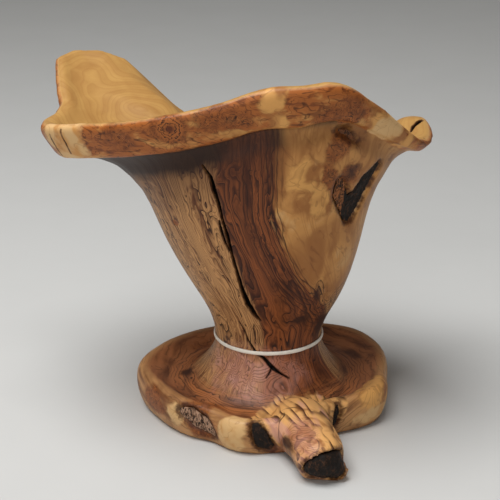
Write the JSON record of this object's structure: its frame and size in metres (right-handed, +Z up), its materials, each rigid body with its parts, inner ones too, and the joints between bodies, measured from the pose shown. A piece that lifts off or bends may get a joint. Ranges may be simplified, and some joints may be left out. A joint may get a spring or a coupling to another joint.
{
  "type": "carved olive root pedestal bowl",
  "caption": "Pedestal bowl carved from olive root, with a wavy natural edge, a narrow waist, a root-slab foot with a stub, bark left in its hollows and a rubber band round the waist.",
  "frame": {"origin": "on the floor under the middle of the narrow waist, at the height of the foot's flat underside", "axes": "+Z up along the waist, +X towards the rim's short pointed tip, -Y towards the side where the root stub sticks out"},
  "size_m": [0.2172, 0.1832, 0.2096],
  "materials": {
    "olive_wood": "oiled satin, dark brown figure lines on golden to reddish brown",
    "root_bark": "rough decayed bark, nearly black",
    "band_rubber": "matt white rubber"
  },
  "bodies": {
    "root": {"carved_root": "olive_wood", "waist_band": "band_rubber", "wall_bark": "root_bark", "rim_bark": "root_bark", "foot_seam_bark": "root_bark", "foot_scar_bark": "root_bark", "notch_bark": "root_bark", "stub_end_bark": "root_bark"}
  },
  "joints": []
}
